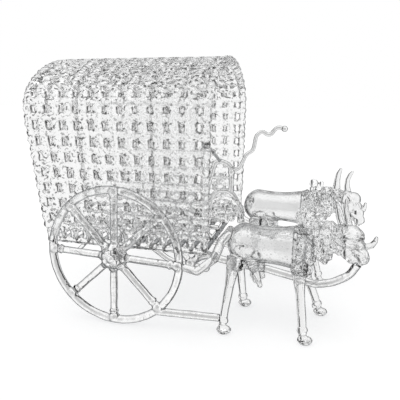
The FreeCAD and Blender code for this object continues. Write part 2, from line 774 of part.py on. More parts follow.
def hanger(side):
    """The bracket, and the thin strut from the sill's front end to the shaft."""
    arms = bracket(side)
    top = at(CANOPY_FRONT_X + SILL_OVERHANG, side * CANOPY_HALF_W, SILL_Z)
    strut = rod(top, shaft_corner(side, 1), STRUT_R)
    strut = strut.cut([sill(side), nodes["shaft_" + SIDES[side]]])
    return group([arms, main_solid(strut)])


both_sides("shaft", shaft)
both_sides("shaft_bracket", hanger)


def tie_rod(side):
    ankle_x = along_body(HIP_ROWS["rear_legs"][1])
    ankle = at(ankle_x, side * (BULL_Y + LEG_OUT - TIE_INSET), ANKLE_RING_Z)
    whole = rod(rim_point(side, TIE_ANGLE), ankle, TIE_ROD_R)
    hand = SIDES[side]
    return main_solid(whole.cut([nodes["wheel_rim_" + hand], nodes["bullock_rear_legs_" + hand]]))


both_sides("tie_rod", tie_rod)

# the brace's corners after the axle: x and z in wheel radii
BRACE = [(0.575, 0.612), (1.075, 0.6)]
BRACE_COLLAR_R = 1.5 * AXLE_R


def under_brace(side):
    y = side * BRACE_Y
    points = [at(0, y, AXLE_Z)] + [at(ahead * WHEEL_R, y, up * WHEEL_R) for ahead, up in BRACE]
    shape = fuse([bent_rod(points, BRACE_ROD_R, BRACE_BEND), ball(points[-1], BRACE_END_R),
                  ball(points[0], BRACE_COLLAR_R)])
    return main_solid(shape.cut([nodes["axle"], nodes["floor_cross_rods"]]))


both_sides("under_brace", under_brace)

def rear_peg(side):
    y = side * CANOPY_HALF_W
    tip = at(PEG_TOP_X - PEG_REACH, y, SILL_Z - PEG_REACH)
    shape = fuse([rod(at(PEG_TOP_X, y, SILL_Z), tip, PEG_R), ball(tip, 1.2 * PEG_R)])
    return main_solid(shape.cut(sill(side)))


both_sides("rear_peg", rear_peg)

os.makedirs("parts", exist_ok=True)
for name, shape in nodes.items():
    shape.exportStep("parts/%s.step" % name)
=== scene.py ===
"""Dresses a small bullock cart as hand-drawn clear glass: rods fused in the flame and blown bodies."""
import math

import bmesh
import bpy
import numpy as np
from bpy.props import FloatProperty, FloatVectorProperty, PointerProperty
from mathutils import Matrix, Vector


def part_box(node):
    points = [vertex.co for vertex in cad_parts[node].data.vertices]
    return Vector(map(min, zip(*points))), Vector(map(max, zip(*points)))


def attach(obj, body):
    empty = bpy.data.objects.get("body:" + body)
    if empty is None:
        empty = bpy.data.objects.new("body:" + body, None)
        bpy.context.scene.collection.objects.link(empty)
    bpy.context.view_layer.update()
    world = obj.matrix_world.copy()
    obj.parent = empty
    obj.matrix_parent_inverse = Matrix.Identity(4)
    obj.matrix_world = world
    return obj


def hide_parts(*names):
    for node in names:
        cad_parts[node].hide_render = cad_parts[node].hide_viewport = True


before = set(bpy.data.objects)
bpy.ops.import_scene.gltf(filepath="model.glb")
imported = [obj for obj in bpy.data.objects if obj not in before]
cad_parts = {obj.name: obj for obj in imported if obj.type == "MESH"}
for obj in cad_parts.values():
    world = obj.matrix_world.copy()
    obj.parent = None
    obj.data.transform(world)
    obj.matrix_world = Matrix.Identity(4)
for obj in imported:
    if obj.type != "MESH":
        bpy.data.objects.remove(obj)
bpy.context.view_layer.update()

bl_info = {
    "name": "Glass Bullock Cart",
    "version": (1, 0, 0),
    "blender": (4, 5, 0),
    "location": "3D View > Sidebar > Glass Cart",
    "description": "Blows a small clear-glass bullock cart over its solid model",
    "category": "Object",
}

MM = 0.001
SIDES = {"right": -1, "left": 1}
LENGTH = {"unit": "LENGTH", "precision": 5}
COLOUR = {"subtype": "COLOR", "size": 4, "min": 0.0, "max": 1.0}


# ---- sizes and colours that a user would change ----


# The glass's own colour, its painted edge shade, how it bends light, and its shadow's tint.
class GlassAndEdgeShade(bpy.types.PropertyGroup):
    body: FloatVectorProperty(
        name="Glass", description="Colour of the glass seen face on",
        default=(0.995, 0.997, 0.997, 1.0), **COLOUR)
    # Painted shade: the dark that the glass's colour takes at its rim, standing in for light that the
    # rim bends away.
    edge: FloatVectorProperty(
        name="Glass edge", description="Colour of the glass where it turns away",
        default=(0.05, 0.055, 0.06, 1.0), **COLOUR)
    ior: FloatProperty(
        name="Bending of light", description="Index of refraction of hard clear glass",
        default=1.47, min=1.3, max=1.8)
    lamp_tint: FloatVectorProperty(
        name="Shadow tint", description="What one wall of glass lets through to its shadow",
        default=(0.87, 0.875, 0.88, 1.0), **COLOUR)


class CartMaking(bpy.types.PropertyGroup):
    rod_grain: FloatProperty(
        name="Rod fineness", description="Cell size that rods and wheels are fused at",
        default=0.58 * MM, min=0.2 * MM, max=2 * MM, **LENGTH)
    floor_grain: FloatProperty(
        name="Floor fineness", description="Cell size that the floor's rods are fused at",
        default=0.85 * MM, min=0.3 * MM, max=2 * MM, **LENGTH)
    garland_grain: FloatProperty(
        name="Garland fineness", description="Cell size that garlands and yoke are fused at",
        default=0.6 * MM, min=0.3 * MM, max=2 * MM, **LENGTH)
    lattice_grain: FloatProperty(
        name="Lattice fineness", description="Cell size that the canopy's lattice is fused at",
        default=0.64 * MM, min=0.3 * MM, max=2 * MM, **LENGTH)
    bullock_grain: FloatProperty(
        name="Bullock fineness", description="Cell size of the bullocks, the seat and the pegs",
        default=0.48 * MM, min=0.2 * MM, max=2 * MM, **LENGTH)
    waviness: FloatProperty(
        name="Hand waviness", description="How far the hand-drawn glass wanders in and out",
        default=0.4 * MM, min=0.0, max=2 * MM, **LENGTH)
    rail_radius: FloatProperty(
        name="Lattice rod radius", description="Radius of the long rods of the lattice, mid-bay",
        default=2.5 * MM, min=1.0 * MM, max=3.0 * MM, **LENGTH)
    joint_radius: FloatProperty(
        name="Lattice joint radius", description="Radius of the long rods where they cross a hoop",
        default=2.4 * MM, min=1.0 * MM, max=3.5 * MM, **LENGTH)
    link_radius: FloatProperty(
        name="Lattice link radius", description="Radius of the knuckle on a hoop between two rails",
        default=3.5 * MM, min=1.0 * MM, max=4.0 * MM, **LENGTH)


class Studio(bpy.types.PropertyGroup):
    floor: FloatVectorProperty(
        name="Floor", description="Colour of the floor", default=(0.9, 0.9, 0.9, 1.0), **COLOUR)
    room: FloatProperty(
        name="Room light", description="Strength of the light from all round",
        default=0.5, min=0.0, max=2.0)
    fill: FloatProperty(
        name="Floor brightness", description="How much the floor is lifted towards white",
        default=0.405, min=0.0, max=1.0)
    lamp: FloatProperty(
        name="Soft lamp", description="Strength of the broad soft light from overhead",
        default=0.75, min=0.0, max=20.0)
    lens: FloatProperty(
        name="Lens", description="Focal length in millimetres on a 36 mm sensor",
        default=40.5, min=10.0, max=200.0)


# ---- shader nodes ----


def node(tree, kind, inputs=None, **settings):
    """A new node, set up, with each input given a plain value or a link from another node."""
    made = tree.nodes.new("ShaderNode" + kind)
    for name, value in settings.items():
        setattr(made, name, value)
    for socket, value in (inputs or {}).items():
        if isinstance(value, bpy.types.NodeSocket):
            tree.links.new(value, made.inputs[socket])
        else:
            made.inputs[socket].default_value = value
    return made


def maths(tree, operation, first, second):
    """What comes of two numbers, each of them plain or from another node."""
    return node(tree, "Math", {0: first, 1: second}, operation=operation).outputs[0]


def mapped(tree, value, low, high, to_low=0.0, to_high=1.0, curve="LINEAR"):
    """A value mapped from one range to another, and held inside it."""
    bounds = {"From Min": low, "From Max": high, "To Min": to_low, "To Max": to_high}
    return node(tree, "MapRange", {"Value": value, **bounds},
                interpolation_type=curve).outputs["Result"]


def ramp(tree, value, stops):
    """The colour that a value has on a ramp of stops, each a place and a colour."""
    made = node(tree, "ValToRGB", {"Fac": value})
    elements = made.color_ramp.elements
    while len(elements) < len(stops):
        elements.new(1.0)
    for element, (place, colour) in zip(elements, stops):
        element.position = place
        element.color = colour
    return made.outputs["Color"]


# A Mix node's sockets for numbers and for colours: its first, its second and its result.
MIX_SOCKETS = {"FLOAT": (2, 3, 0), "RGBA": (6, 7, 2)}


def mix(tree, kind, factor, first, second, blend="MIX"):
    """A mix of two numbers or two colours."""
    before, after, result = MIX_SOCKETS[kind]
    return node(tree, "Mix", {"Factor": factor, before: first, after: second},
                data_type=kind, blend_type=blend).outputs[result]


def show_mix(tree, factor, first, second):
    """Ends a material with a mix of two shaders."""
    both = node(tree, "MixShader", {"Fac": factor, 1: first.outputs[0], 2: second.outputs[0]})
    node(tree, "OutputMaterial", {"Surface": both.outputs[0]})


def bare_material(name):
    """A new material with an empty tree."""
    made = bpy.data.materials.new(name)
    made.use_nodes = True
    made.node_tree.nodes.clear()
    return made


def node_group(name, inputs, outputs):
    """A new node group and its two ends. Its sockets come as pairs of name and kind."""
    group = bpy.data.node_groups.new(name, "ShaderNodeTree")
    for way, sockets in (("INPUT", inputs), ("OUTPUT", outputs)):
        for socket, kind in sockets:
            group.interface.new_socket(socket, in_out=way, socket_type="NodeSocket" + kind)
    return group, group.nodes.new("NodeGroupInput"), group.nodes.new("NodeGroupOutput")


# ---- glass ----

# How many waves, ripples and seeds the skin has to the metre, at a wave size of one.
WAVE_SCALE = 300.0
RIPPLE_SCALE = 900.0
SEED_SCALE = 420.0
SEED_EDGE = (0.10, 0.20)  # where a seed starts to fade and where it ends, in its cell
KNOT_EDGE = (0.55, 0.60)  # the ripple that starts a knot, and the one that makes it full
CLOUD_EDGE = (0.3, 0.7)  # the ripples between which the skin turns from clear to cloudy
CLOUDY = 0.02  # roughness of cloudy skin
HEART_END = 0.03  # how far glass has turned where its heart ends
FACE_START = 0.07  # and where its plain face starts


def drawn_skin():
    """The node group for the skin of drawn glass: long waves, fine ripples, seeds and knots."""
    known = bpy.data.node_groups.get("drawn glass skin")
    if known:
        return known
    numbers = ("Wave size", "Ripple", "Seeds", "Knot depth")
    tree, source, sink = node_group(
        "drawn glass skin", [("Vector", "Vector")] + [(name, "Float") for name in numbers],
        [("Height", "Float"), ("Ripples", "Float"), ("Knots", "Color")])
    given = source.outputs

    def noise(scale, detail):
        scale = maths(tree, "DIVIDE", scale, given["Wave size"])
        return node(tree, "TexNoise", {"Vector": given["Vector"], "Scale": scale,
                                       "Detail": detail}).outputs["Fac"]

    waves = noise(WAVE_SCALE, 1.0)
    ripples = noise(RIPPLE_SCALE, 2.0)
    cells = node(tree, "TexVoronoi", {"Vector": given["Vector"], "Scale": SEED_SCALE})
    seeds = mapped(tree, cells.outputs["Distance"], *SEED_EDGE, 1.0, 0.0, "SMOOTHSTEP")
    height = maths(tree, "ADD", waves, maths(tree, "MULTIPLY", ripples, given["Ripple"]))
    height = maths(tree, "ADD", height, maths(tree, "MULTIPLY", seeds, given["Seeds"]))
    knots = mapped(tree, ripples, *KNOT_EDGE, curve="SMOOTHSTEP")
    clear = maths(tree, "SUBTRACT", 1.0, maths(tree, "MULTIPLY", knots, given["Knot depth"]))
    for name, value in (("Height", height), ("Ripples", ripples), ("Knots", clear)):
        tree.links.new(value, sink.inputs[name])
    return tree


def glass(name, wave_size, ripple, seeds, knots, depth, core, shade_from, shade_to,
          shade_lift=1.0, skin_deep=False, veil=1.0, flank=(0.0, 0.01)):
    """Clear glass whose colour darkens with painted shade where it turns away, and that lets lamps
    through to its shadow.

    Skin-deep glass shows its bumps, knots and painted dark edges only where the eye meets it first,
    and is clear behind that.
    """
    known = bpy.data.materials.get(name)
    if known:
        return known
    glass_and_shade = bpy.context.scene.glass_finish
    made = bare_material(name)
    tree = made.node_tree
    path = node(tree, "LightPath").outputs
    first_sight = path["Is Camera Ray"]
    where = node(tree, "TexCoord").outputs["Object"]
    skin = node(tree, "Group", {"Vector": where, "Wave size": wave_size, "Ripple": ripple,
                                "Seeds": seeds, "Knot depth": knots},
                node_tree=drawn_skin()).outputs
    bump = node(tree, "Bump", {"Distance": depth, "Strength": first_sight if skin_deep else 1.0,
                               "Height": skin["Height"]})
    facing = node(tree, "LayerWeight").outputs["Facing"]
    # The edge colour is painted shade for the glass's rim, dimmed or brightened by its lift.
    heart, face_on, edge = ([share * part for part in tint[:3]] + [1.0] for share, tint in (
        (core, glass_and_shade.body), (veil, glass_and_shade.body), (shade_lift, glass_and_shade.edge)))
    # Painted shade: the colour darkens as the glass turns away from the eye.
    turned = ramp(tree, facing, ((0.0, heart), (HEART_END, heart), (FACE_START, face_on),
                                 (shade_from, face_on), (shade_to, edge)))
    colour = mix(tree, "RGBA", mapped(tree, facing, *flank), turned, skin["Knots"], "MULTIPLY")
    # Skin-deep glass shows its painted edge shade and knots to the eye's first sight only.
    if skin_deep:
        colour = mix(tree, "RGBA", first_sight, glass_and_shade.body, colour)
    cloud = mapped(tree, skin["Ripples"], *CLOUD_EDGE, 0.0, CLOUDY)
    solid = node(tree, "BsdfPrincipled", {
        "Transmission Weight": 1.0, "IOR": glass_and_shade.ior, "Base Color": colour,
        "Roughness": cloud, "Normal": bump.outputs["Normal"]})
    through = node(tree, "BsdfTransparent", {"Color": glass_and_shade.lamp_tint})
    lamps = maths(tree, "MAXIMUM", path["Is Shadow Ray"], path["Is Diffuse Ray"])
    show_mix(tree, lamps, solid, through)
    return made


# The kinds of glass on the cart. wave_size to knots shape the skin, and depth is its relief in
# metres. core and veil dim the glass dead ahead and face on. As it turns away its colour darkens
# with painted shade, standing in for the dark rim that bent light gives glass, between the two
# places set for that shade, and the lift brightens that painted dark. Knots set in over flank.
GLASSES = {
    "clear_glass": dict(wave_size=2.0, ripple=0.25, seeds=0.15, knots=0.15, depth=0.0005,
                        core=0.55, shade_from=0.22, shade_to=0.6),
    "lattice_glass": dict(wave_size=1.5, ripple=0.5, seeds=0.2, knots=0.97, depth=0.0007,
                          core=0.92, shade_from=0.78, shade_to=1.0, shade_lift=3.0,
                          skin_deep=True, veil=0.92, flank=(-0.1, 0.25)),
    "textured_glass": dict(wave_size=1.6, ripple=0.3, seeds=0.1, knots=0.8, depth=0.0002,
                           core=1.0, shade_from=0.6, shade_to=0.95, shade_lift=4.0,
                           skin_deep=True),
    "blown_glass": dict(wave_size=3.0, ripple=0.25, seeds=0.2, knots=0.0, depth=0.0005,
                        core=0.85, shade_from=0.35, shade_to=0.75, veil=0.92),
}


def melted_seam():
    """The closed face between two lengths of one fused piece, which doesn't show in real glass."""
    known = bpy.data.materials.get("melted seam")
    if known:
        return known
    made = bpy.data.materials.new("melted seam")
    made.use_nodes = True
    made.node_tree.nodes["Principled BSDF"].inputs["Alpha"].default_value = 0.0
    return made


# ---- glass working ----

WELD = 1e-6  # points of a solid nearer than this, in metres, are one


def gather(bm, small):
    """Adds a small piece of glass to the rest, and lets go of it."""
    held = bpy.data.meshes.new("held")
    small.to_mesh(held)
    small.free()
    bm.from_mesh(held)
    bpy.data.meshes.remove(held)


def solids(*names):
    """One mesh of the named solids, each closed again by merging its doubled points."""
    bm = bmesh.new()
    for name in names:
        one = bmesh.new()
        one.from_mesh(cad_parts[name].data)
        bmesh.ops.remove_doubles(one, verts=one.verts, dist=WELD)
        gather(bm, one)
    return bm


def separate(bm):
    """The loose parts of a mesh, each as a list of its points."""
    bm.verts.ensure_lookup_table()
    seen, found = set(), []
    for vert in bm.verts:
        if vert in seen:
            continue
        seen.add(vert)
        part, front = [vert], [vert]
        while front:
            here = front.pop()
            for edge in here.link_edges:
                other = edge.other_vert(here)
                if other not in seen:
                    seen.add(other)
                    part.append(other)
                    front.append(other)
        found.append(part)
    return found


def length_of(part):
    """How far a loose part reaches from front to rear."""
    return max(v.co.x for v in part) - min(v.co.x for v in part)


def rod_lines(name):
    """The two ends of the middle line of every straight rod in a node."""
    bm = solids(name)
    lines = []
    for part in separate(bm):
        co = np.array([v.co for v in part])
        middle = (co.max(0) + co.min(0)) / 2
        spread = co - co.mean(0)
        along = np.linalg.eigh(spread.T @ spread)[1][:, 2]
        along *= 1 if along[0] >= 0 else -1
        reach = (co - middle) @ along
        lines.append((Vector(middle + along * reach.min()), Vector(middle + along * reach.max())))
    bm.free()
    return lines


def blob(bm, centre, radius, squash=(1, 1, 1), turn=None, rounds=2):
    """A drop of glass, squashed along its own axes."""
    place = Matrix.Translation(centre)
    if turn is not None:
        place = place @ turn.to_4x4()
    place = place @ Matrix.Diagonal((*squash, 1))
    drop = bmesh.new()
    bmesh.ops.create_icosphere(drop, subdivisions=rounds, radius=radius, matrix=place)
    gather(bm, drop)


def drops(bm, middle, table):
    """A table of drops as (forward, left, up, radius) in millimetres from a middle."""
    for *place, radius in table:
        blob(bm, middle + Vector(place) * MM, radius * MM)


def drawn_rod(whole, points, radii, sides=12):
    """A round rod drawn out through the points, and closed at both ends."""
    bm = bmesh.new()
    last = len(points) - 1
    ways = [(points[min(i + 1, last)] - points[max(i - 1, 0)]).normalized()
            for i in range(last + 1)]
    turns = [ways[0].to_track_quat("Z", "Y")]
    for before, after in zip(ways, ways[1:]):
        turns.append(before.rotation_difference(after) @ turns[-1])

    def station(i):
        return (Matrix.Translation(points[i]) @ turns[i].to_matrix().to_4x4()
                @ Matrix.Diagonal((radii[i], radii[i], 1, 1)))

    rim = bmesh.ops.create_circle(bm, cap_ends=True, segments=sides, radius=1.0,
                                  matrix=station(0))["verts"]
    edges = list({e for v in rim for e in v.link_edges})
    for i in range(1, last + 1):
        drawn = bmesh.ops.extrude_edge_only(bm, edges=edges)["geom"]
        rim = [g for g in drawn if isinstance(g, bmesh.types.BMVert)]
        inside = set(rim)
        edges = [g for g in drawn if isinstance(g, bmesh.types.BMEdge)
                 and g.verts[0] in inside and g.verts[1] in inside]
        bmesh.ops.transform(bm, matrix=station(i) @ station(i - 1).inverted(), verts=rim)
    bmesh.ops.contextual_create(bm, geom=edges)
    gather(whole, bm)


def rounded_rod(bm, points, radii, sides=10):
    """A drawn rod whose two ends are melted round."""
    drawn_rod(bm, points, radii, sides)
    for end in (0, -1):
        blob(bm, points[end], radii[end])


def stud(bm, centre, radius, along, count, bead, phase=0.0):
    """A ring of little beads round a line."""
    side = along.orthogonal().normalized()
    up = along.cross(side).normalized()
    for i in range(count):
        a = math.tau * (i + phase) / count
        blob(bm, centre + (side * math.cos(a) + up * math.sin(a)) * radius, bead, rounds=1)


def ribbon(bm, start, end, bends, sway, radius):
    """A thread of glass laid back and forth between two places."""
    points = [start.lerp(end, i / bends) + sway * (1 if i % 2 else -1) for i in range(bends + 1)]
    rounded_rod(bm, points, [radius] * len(points), sides=6)


def as_object(bm, name):
    """A mesh put into the scene, and let go of."""
    mesh = bpy.data.meshes.new(name)
    bm.to_mesh(mesh)
    bm.free()
    made = bpy.data.objects.new(name, mesh)
    bpy.context.scene.collection.objects.link(made)
    return made


def making():
    """The sizes of the glass that a user may change."""
    return bpy.context.scene.cart_making


def settle(made):
    """Puts a piece's modifiers into its mesh."""
    graph = bpy.context.evaluated_depsgraph_get()
    mesh = bpy.data.meshes.new_from_object(made.evaluated_get(graph))
    made.modifiers.clear()
    old = made.data
    made.data = mesh
    bpy.data.meshes.remove(old)
    mesh.name = made.name


def change_heights(mesh, change):
    """Moves each point of a mesh to the height that a function gives for its own."""
    co = np.zeros(len(mesh.vertices) * 3)
    mesh.vertices.foreach_get("co", co)
    co[2::3] = change(co[2::3])
    mesh.vertices.foreach_set("co", co)
    mesh.update()


def hand_waves(wave_length):
    """The texture by which drawn glass wanders in and out."""
    name = "hand waves %.4f" % wave_length
    waves = bpy.data.textures.get(name)
    if waves is None:
        waves = bpy.data.textures.new(name, "CLOUDS")
        waves.noise_scale = wave_length
        waves.noise_depth = 1
    return waves


BEADED_WAVINESS = 0.3 * MM  # for beaded pieces, whose beads stay round


def fuse_in_flame(bm, name, grain, relax=3, waviness=None, wave_length=7 * MM):
    """Melts overlapping glass into one skin, softens it and gives it a hand-made wander."""
    made = as_object(bm, name)
    melt = made.modifiers.new("melt", "REMESH")
    melt.mode = "VOXEL"
    melt.voxel_size = grain
    melt.use_smooth_shade = True
    soften = made.modifiers.new("soften", "SMOOTH")
    soften.factor = 0.5
    soften.iterations = relax
    hand = made.modifiers.new("hand", "DISPLACE")
    hand.texture = hand_waves(wave_length)
    hand.texture_coords = "LOCAL"
    hand.strength = making().waviness if waviness is None else waviness
    settle(made)
    change_heights(made.data, lambda heights: np.maximum(heights, 0.0))
    return made


def place_piece(made, slot, *names):
    """Gives a piece its glass, and lets it stand for its solids."""
    made.data.materials.clear()
    made.data.materials.append(glass(slot.replace("_", " "), **GLASSES[slot]))
    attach(made, "root")
    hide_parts(*names)


def fuse_plain(name, grain, *names):
    """A piece of plain rods, as their solids have them."""
    made = fuse_in_flame(solids(*names), name, grain)
    place_piece(made, "clear_glass", *names)


# ---- wheels ----

SPOKE_R = 2.1 * MM
SPOKE_BITE = 2 * MM  # how far the hub's rods reach into the spokes
SPOKE_ROOT = 6.0 * MM  # from the hub's middle to the drop at a spoke's root
SPOKE_ROOT_R = 3.0 * MM
# A spoke's collar near the rim, as (in from the rim's outer edge, radius) in millimetres.
COLLAR = ((8.3, 2.3), (7.4, 2.9), (6.5, 2.3))
HUB_CORE_R = 4.6 * MM
HUB_LOBES = 8
# The lobes round each face and the waist of a hub, as (out, left, radius) in millimetres.
LOBE_RINGS = ((3.6, -3.4, 2.3), (3.6, 3.4, 2.3), (6.3, 0.0, 1.9))
NIPPLES = ((0, -4.6, 0, 2.0), (0, 4.6, 0, 2.0))


def model_spoke(bm, centre, start, end, rim_radius):
    """What the flame adds to a spoke: its root, its drop there and its collar at the rim."""
    out = (end - centre).normalized()
    blob(bm, centre + out * SPOKE_ROOT, SPOKE_ROOT_R, squash=(1, 1.25, 1))
    drawn_rod(bm, [centre, start + out * SPOKE_BITE], [SPOKE_R, SPOKE_R])
    drawn_rod(bm, [centre + out * (rim_radius - inset * MM) for inset, radius in COLLAR],
              [radius * MM for inset, radius in COLLAR])


def model_hub(bm, centre):
    """A blob with lobes round each face and round its waist, and a nipple at each end."""
    blob(bm, centre, HUB_CORE_R, squash=(1, 1.1, 1))
    for i in range(HUB_LOBES):
        turn = math.tau * (i + 0.5) / HUB_LOBES
        drops(bm, centre, [(out * math.cos(turn), left, out * math.sin(turn), radius)
                           for out, left, radius in LOBE_RINGS])
    drops(bm, centre, NIPPLES)


def make_wheel(hand):
    """A wheel with its tie rod, fused in one."""
    rim, hub, spokes, tie = (part + hand for part in ("wheel_rim_", "wheel_hub_",
                                                      "wheel_spokes_", "tie_rod_"))
    bm = solids(rim, spokes, tie)
    low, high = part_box("wheel_rim_" + hand)
    centre = (low + high) / 2
    for ends in rod_lines(spokes):
        near, far = sorted(ends, key=lambda end: (end - centre).length)
        model_spoke(bm, centre, near, far, (high.z - low.z) / 2)
    model_hub(bm, centre)
    made = fuse_in_flame(bm, "wheel_" + hand, making().rod_grain)
    place_piece(made, "clear_glass", rim, hub, spokes, tie)


def make_axle():
    """The axle and the braces under the floor."""
    fuse_plain("axle_and_braces", making().rod_grain,
               "axle", "under_brace_left", "under_brace_right")


# ---- canopy and floor ----

HOOPS = ["front_arch", "canopy_hoops", "rear_arch"]
WALLS = ["wall_rails_right", "wall_rails_left"]
ROOF = ["roof_rails_%d" % (i + 1) for i in range(5)]
SILLS = ["sill_right", "sill_left"]
END_ARCH_ROD = 2.0 * MM  # from a rail's end to the middle line of the arch it meets
ROW_NEAR = 3 * MM  # rails whose ends lie nearer than this are one row
WALL_TOP = 0.115  # height above which a row is on the roof
PAST_ROOF = 9  # puts a wall's rows before or after the roof's, which go by their angle
# Each long rod's ends, as places past its last hoop in millimetres and shares of its radius.
REAR_TIP = ((3.2, 0.6), (2.4, 1.0))
FRONT_TIP = ((0.0, 1.0), (1.2, 1.0), (1.8, 0.6))
LINK_SQUASH = (1.2, 0.75, 1.0)  # along the rails, out of the vault, and along the hoop
FRONT_LINK_R = 2.7 * MM
FRONT_JOINT_R = 3.1 * MM
LATTICE_WAVE = 3.2 * MM
REAR_PARTING = 3  # the bays in which the lattice is parted, from the rear
FRONT_PARTING = 8


def over_vault(row):
    """Where a row comes on the way up the right wall, over the roof and down the left wall."""
    start = row[0]
    if start.z > WALL_TOP:
        return math.atan2(start.y, start.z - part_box("sill_right")[1].z)
    return math.copysign(PAST_ROOF - start.z, start.y)


def crossings():
    """Where every row of rails meets every hoop, row by row from one sill over to the other."""
    rows = []
    for start, end in sorted((line for name in WALLS + ROOF for line in rod_lines(name)),
                             key=lambda line: line[0].x):
        for row in rows:
            if math.hypot(row[-1].y - end.y, row[-1].z - end.z) < ROW_NEAR:
                row[-1] = (row[-1] + start) / 2
                row.append(end)
                break
        else:
            rows.append([start, end])
    for row in rows:
        along = (row[-1] - row[0]).normalized()
        row[0] -= along * END_ARCH_ROD
        row[-1] += along * END_ARCH_ROD
    return sorted(rows, key=over_vault)


def model_row(bm, row, rail, joint):
    """One long rod of the lattice, from end to end of the canopy."""
    along = (row[-1] - row[0]).normalized()
    points = [row[0] - along * back * MM for back, share in REAR_TIP]
    radii = [share * joint for back, share in REAR_TIP]
    for here, ahead in zip(row, row[1:]):
        points += [here, here.lerp(ahead, 0.3), here.lerp(ahead, 0.7)]
        radii += [joint, rail, rail]
    points += [row[-1] + along * past * MM for past, share in FRONT_TIP]
    radii += [share * joint for past, share in FRONT_TIP]
    drawn_rod(bm, points, radii, sides=10)


def model_links(bm, row, other, link):
    """The knuckles on the hoops between two rows, and the beads of the front arch."""
    along = (row[-1] - row[0]).normalized()
    for here, there in zip(row[:-1], other):
        way = (there - here).normalized()
        turn = Matrix((along, way.cross(along).normalized(), way)).transposed()
        blob(bm, (here + there) / 2, link, squash=LINK_SQUASH, turn=turn)
    blob(bm, (row[-1] + other[-1]) / 2, FRONT_LINK_R)
    blob(bm, row[-1], FRONT_JOINT_R)


def make_lattice(rows):
    """The whole lattice, fused in one skin before it is parted."""
    bm = solids(*HOOPS, *SILLS)
    for row in rows:
        model_row(bm, row, making().rail_radius, making().joint_radius)
    for row, other in zip(rows, rows[1:]):
        model_links(bm, row, other, making().link_radius)
    return fuse_in_flame(bm, "lattice", making().lattice_grain, relax=2, wave_length=LATTICE_WAVE)


ON_CUT = 1e-7  # corners as near as this to a cut count as on it


def part_off(source, name, cuts):
    """A closed part of a fused piece: each cut keeps what lies on its normal's side."""
    bm = bmesh.new()
    bm.from_mesh(source.data)
    for point, normal in cuts:
        cut = bmesh.ops.bisect_plane(bm, geom=bm.verts[:] + bm.edges[:] + bm.faces[:], dist=ON_CUT,
                                     plane_co=point, plane_no=normal, clear_inner=True)
        rim = [g for g in cut["geom_cut"] if isinstance(g, bmesh.types.BMEdge)]
        for face in bmesh.ops.holes_fill(bm, edges=rim, sides=0)["faces"]:
            face.material_index = 1
    for face in bm.faces:
        face.smooth = face.material_index == 0
    return as_object(bm, name)


def bay_plane(rows, bay):
    """A point and the forward normal of the leaning plane halfway between two hoops."""
    crest = rows[len(rows) // 2]
    foot = (rows[0][bay] + rows[0][bay + 1]) / 2
    crown = (crest[bay] + crest[bay + 1]) / 2
    rise = Vector((crown.x - foot.x, 0, crown.z - foot.z))
    return foot, Vector((0, 1, 0)).cross(rise).normalized()


def make_canopy():
    """The lattice in three lengths, parted between hoops."""
    rows = crossings()
    lattice = make_lattice(rows)
    behind, ahead = bay_plane(rows, REAR_PARTING), bay_plane(rows, FRONT_PARTING)
    lengths = {
        "canopy_rear": ([(behind[0], -behind[1])], ["rear_arch"] + SILLS),
        "canopy_middle": ([behind, (ahead[0], -ahead[1])], ["canopy_hoops"] + WALLS),
        "canopy_front": ([ahead], ["front_arch"] + ROOF),
    }
    for name, (cuts, names) in lengths.items():
        made = part_off(lattice, name, cuts)
        place_piece(made, "lattice_glass", *names)
        made.data.materials.append(melted_seam())
    bpy.data.objects.remove(lattice)


def make_floor():
    """The grid of rods that the canopy stands on."""
    fuse_plain("floor_grid", making().floor_grain, "floor_cross_rods", "floor_stringers")


# ---- seat and whip ----

DOME_BACK = 2.4 * MM  # how far the dome's middle lies behind its solid's
DOME_R = 8.0 * MM
DOME_BEAD_R = 1.9 * MM
BEAD_SINK = 0.97  # a bead's middle lies at this share of the dome's radius
# The beads' rings on the dome: height as a share of its radius, number of beads, and phase.
DOME_RINGS = ((-0.25, 12, 0.0), (-0.65, 9, 0.5))
# The tube bent over the dome, as (forward, up) in millimetres from the dome's middle.
DOME_TUBE = [(-9.6, -4), (-9.2, 1.5), (-6.4, 7), (-1, 9.9), (4.6, 8.8), (9, 4.6),
             (11, -1.5), (10.6, -6)]
DOME_TUBE_LEFT = -2.0
DOME_TUBE_R = 1.7 * MM


def make_seat():
    """The driver's place: its rods and the whip, and the beaded dome with the tube over it."""
    fuse_plain("seat_rods_and_whip", making().bullock_grain, "seat_arch", "seat_post",
               "seat_back_loop", "seat_crossbar", "seat_stay", "whip")
    low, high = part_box("seat")
    centre = (low + high) / 2 - Vector((DOME_BACK, 0, 0))
    bm = bmesh.new()
    blob(bm, centre, DOME_R, squash=(1, 1, 0.98), rounds=4)
    for height, count, phase in DOME_RINGS:
        across = DOME_R * math.sqrt(1 - height * height) * BEAD_SINK
        for i in range(count):
            a = math.tau * (i + phase) / count
            blob(bm, centre + Vector((across * math.cos(a), across * math.sin(a),
                                      height * DOME_R)), DOME_BEAD_R)
    rounded_rod(bm, [centre + Vector((x, DOME_TUBE_LEFT, z)) * MM for x, z in DOME_TUBE],
                [DOME_TUBE_R] * len(DOME_TUBE), sides=12)
    seat = fuse_in_flame(bm, "seat_dome", making().bullock_grain, relax=2,
                         waviness=BEADED_WAVINESS)
    place_piece(seat, "textured_glass", "seat")


# ---- bullocks ----

BULLOCK_OUT = 39.0 * MM  # from the cart's middle plane to a bullock's
POLL_FORWARD = 120.5 * MM
POLL_UP = 57.0 * MM
